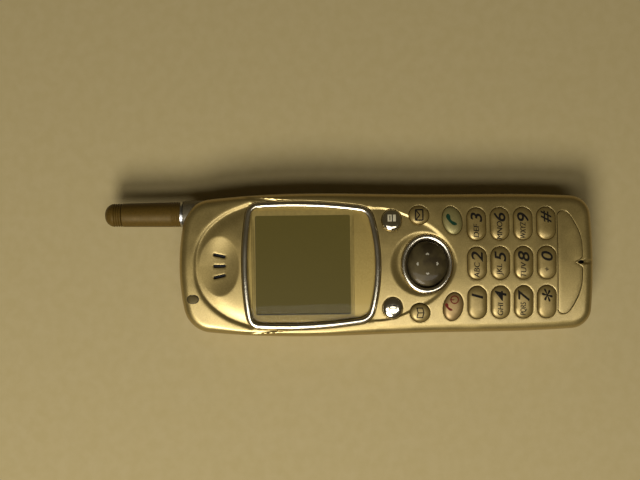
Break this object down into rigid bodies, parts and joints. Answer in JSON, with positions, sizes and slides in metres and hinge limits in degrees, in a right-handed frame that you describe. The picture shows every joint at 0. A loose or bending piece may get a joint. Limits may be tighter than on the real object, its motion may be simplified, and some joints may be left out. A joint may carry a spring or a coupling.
{
  "type": "candybar mobile phone",
  "caption": "Slim candybar mobile phone in champagne silver with a large display, oval keys, a round direction key, a stub antenna with pull-out whip and a slide-off battery.",
  "frame": {"origin": "back face, midway across and 0.5 mm towards the foot from the middle of the body without its antenna", "axes": "+Y towards the head end and the antenna, +Z out of the front face, +X to the antenna's side"},
  "size_m": [0.0444, 0.1515, 0.0171],
  "materials": {
    "satin_shell": "champagne silver paint with a satin metallic sheen",
    "bright_trim": "bright plated",
    "clear_lens": "clear moulded window with a printed champagne surround",
    "indicator_plastic": "grey-green translucent plastic",
    "lcd_glass": "dark olive unlit display",
    "white_plastic": "natural moulded plastic",
    "smoked_dome": "smoked glossy dome",
    "silicone_rubber": "moulded silicone",
    "spring_steel": "plain steel",
    "tinned_steel": "tinned sheet",
    "circuit_board": "green laminate",
    "dark_plastic": "black moulded plastic",
    "foam_gasket": "closed cell foam",
    "antenna_plastic": "dark grey-brown semi-matt plastic",
    "gold_contact": "gold plated",
    "key_caps": "champagne lacquered caps with dark legends",
    "bright_keys": "bright plated oval caps with dark inset icons"
  },
  "bodies": {
    "phone": {"front_cover": "satin_shell", "rear_cover": "satin_shell", "display_trim": "bright_trim", "display_window": "clear_lens", "lcd_panel": "lcd_glass", "lcd_backlight": "white_plastic", "foot_panel": "satin_shell", "indicator_lens": "indicator_plastic", "nav_ring": "bright_trim", "nav_base": "white_plastic", "keypad_mat": "silicone_rubber", "switch_domes": "spring_steel", "main_pcb": "circuit_board", "rf_shield": "tinned_steel", "logic_shield": "tinned_steel", "sim_holder": "dark_plastic", "backup_cell": "tinned_steel", "earpiece_speaker": "dark_plastic", "earpiece_gasket": "foam_gasket", "microphone": "tinned_steel", "microphone_boot": "silicone_rubber", "ringer": "dark_plastic", "vibration_motor": "tinned_steel", "foot_connector": "dark_plastic", "antenna_bushing": "bright_trim", "antenna_stub": "antenna_plastic", "antenna_tube": "white_plastic", "battery_contacts": "gold_contact", "catch_spring": "spring_steel", "case_screws": "spring_steel", "screw_plugs": "silicone_rubber"},
    "key_1": {"key_1": "key_caps"},
    "key_2": {"key_2": "key_caps"},
    "key_3": {"key_3": "key_caps"},
    "key_4": {"key_4": "key_caps"},
    "key_5": {"key_5": "key_caps"},
    "key_6": {"key_6": "key_caps"},
    "key_7": {"key_7": "key_caps"},
    "key_8": {"key_8": "key_caps"},
    "key_9": {"key_9": "key_caps"},
    "key_star": {"key_star": "key_caps"},
    "key_0": {"key_0": "key_caps"},
    "key_hash": {"key_hash": "key_caps"},
    "call_key": {"call_key": "key_caps"},
    "end_key": {"end_key": "key_caps"},
    "soft_key_left": {"soft_key_left": "bright_keys"},
    "soft_key_right": {"soft_key_right": "bright_keys"},
    "mail_key": {"mail_key": "bright_keys"},
    "book_key": {"book_key": "bright_keys"},
    "nav_carrier": {"nav_carrier": "white_plastic"},
    "nav_key": {"nav_key": "smoked_dome"},
    "whip": {"antenna_whip": "spring_steel", "antenna_knob": "antenna_plastic"},
    "battery": {"battery_case": "satin_shell", "battery_lid": "dark_plastic", "battery_pads": "gold_contact", "battery_cell": "tinned_steel"},
    "battery_catch": {"battery_catch": "satin_shell"},
    "vibration_weight": {"vibration_weight": "spring_steel"}
  },
  "joints": [
    {"name": "key_1_press", "type": "slide", "parent": "phone", "child": "key_1", "axis": [0, 0, -1], "range_m": [0, 0.0005], "stiffness_N_per_m": 2500, "deforming": ["keypad_mat"]},
    {"name": "key_2_press", "type": "slide", "parent": "phone", "child": "key_2", "axis": [0, 0, -1], "range_m": [0, 0.0005], "stiffness_N_per_m": 2500, "deforming": ["keypad_mat"]},
    {"name": "key_3_press", "type": "slide", "parent": "phone", "child": "key_3", "axis": [0, 0, -1], "range_m": [0, 0.0005], "stiffness_N_per_m": 2500, "deforming": ["keypad_mat"]},
    {"name": "key_4_press", "type": "slide", "parent": "phone", "child": "key_4", "axis": [0, 0, -1], "range_m": [0, 0.0005], "stiffness_N_per_m": 2500, "deforming": ["keypad_mat"]},
    {"name": "key_5_press", "type": "slide", "parent": "phone", "child": "key_5", "axis": [0, 0, -1], "range_m": [0, 0.0005], "stiffness_N_per_m": 2500, "deforming": ["keypad_mat"]},
    {"name": "key_6_press", "type": "slide", "parent": "phone", "child": "key_6", "axis": [0, 0, -1], "range_m": [0, 0.0005], "stiffness_N_per_m": 2500, "deforming": ["keypad_mat"]},
    {"name": "key_7_press", "type": "slide", "parent": "phone", "child": "key_7", "axis": [0, 0, -1], "range_m": [0, 0.0005], "stiffness_N_per_m": 2500, "deforming": ["keypad_mat"]},
    {"name": "key_8_press", "type": "slide", "parent": "phone", "child": "key_8", "axis": [0, 0, -1], "range_m": [0, 0.0005], "stiffness_N_per_m": 2500, "deforming": ["keypad_mat"]},
    {"name": "key_9_press", "type": "slide", "parent": "phone", "child": "key_9", "axis": [0, 0, -1], "range_m": [0, 0.0005], "stiffness_N_per_m": 2500, "deforming": ["keypad_mat"]},
    {"name": "key_star_press", "type": "slide", "parent": "phone", "child": "key_star", "axis": [0, 0, -1], "range_m": [0, 0.0005], "stiffness_N_per_m": 2500, "deforming": ["keypad_mat"]},
    {"name": "key_0_press", "type": "slide", "parent": "phone", "child": "key_0", "axis": [0, 0, -1], "range_m": [0, 0.0005], "stiffness_N_per_m": 2500, "deforming": ["keypad_mat"]},
    {"name": "key_hash_press", "type": "slide", "parent": "phone", "child": "key_hash", "axis": [0, 0, -1], "range_m": [0, 0.0005], "stiffness_N_per_m": 2500, "deforming": ["keypad_mat"]},
    {"name": "call_key_press", "type": "slide", "parent": "phone", "child": "call_key", "axis": [0, 0, -1], "range_m": [0, 0.0005], "stiffness_N_per_m": 2500, "deforming": ["keypad_mat"]},
    {"name": "end_key_press", "type": "slide", "parent": "phone", "child": "end_key", "axis": [0, 0, -1], "range_m": [0, 0.0005], "stiffness_N_per_m": 2500, "deforming": ["keypad_mat"]},
    {"name": "soft_key_left_press", "type": "slide", "parent": "phone", "child": "soft_key_left", "axis": [0, 0, -1], "range_m": [0, 0.0005], "stiffness_N_per_m": 2500, "deforming": ["keypad_mat"]},
    {"name": "soft_key_right_press", "type": "slide", "parent": "phone", "child": "soft_key_right", "axis": [0, 0, -1], "range_m": [0, 0.0005], "stiffness_N_per_m": 2500, "deforming": ["keypad_mat"]},
    {"name": "mail_key_press", "type": "slide", "parent": "phone", "child": "mail_key", "axis": [0, 0, -1], "range_m": [0, 0.0005], "stiffness_N_per_m": 2500, "deforming": ["keypad_mat"]},
    {"name": "book_key_press", "type": "slide", "parent": "phone", "child": "book_key", "axis": [0, 0, -1], "range_m": [0, 0.0005], "stiffness_N_per_m": 2500, "deforming": ["keypad_mat"]},
    {"name": "nav_rock_up_down", "type": "hinge", "parent": "phone", "child": "nav_carrier", "pos_m": [0, -0.012, 0.012], "axis": [1, 0, 0], "range_deg": [-3, 3], "stiffness_Nm_per_rad": 0.05},
    {"name": "nav_rock_left_right", "type": "hinge", "parent": "nav_carrier", "child": "nav_key", "pos_m": [0, -0.012, 0.012], "axis": [0, 1, 0], "range_deg": [-3, 3], "stiffness_Nm_per_rad": 0.05},
    {"name": "antenna_pull", "type": "slide", "parent": "phone", "child": "whip", "axis": [0, 1, 0], "range_m": [0, 0.044]},
    {"name": "battery_slide", "type": "slide", "parent": "phone", "child": "battery", "axis": [0, -1, 0], "range_m": [0, 0.062]},
    {"name": "catch_press", "type": "slide", "parent": "phone", "child": "battery_catch", "axis": [0, 0, 1], "range_m": [0, 0.0012], "stiffness_N_per_m": 1500, "deforming": ["catch_spring"]},
    {"name": "motor_spin", "type": "hinge", "parent": "phone", "child": "vibration_weight", "pos_m": [-0.0039, 0.031, 0.0052], "axis": [1, 0, 0], "continuous": true}
  ]
}
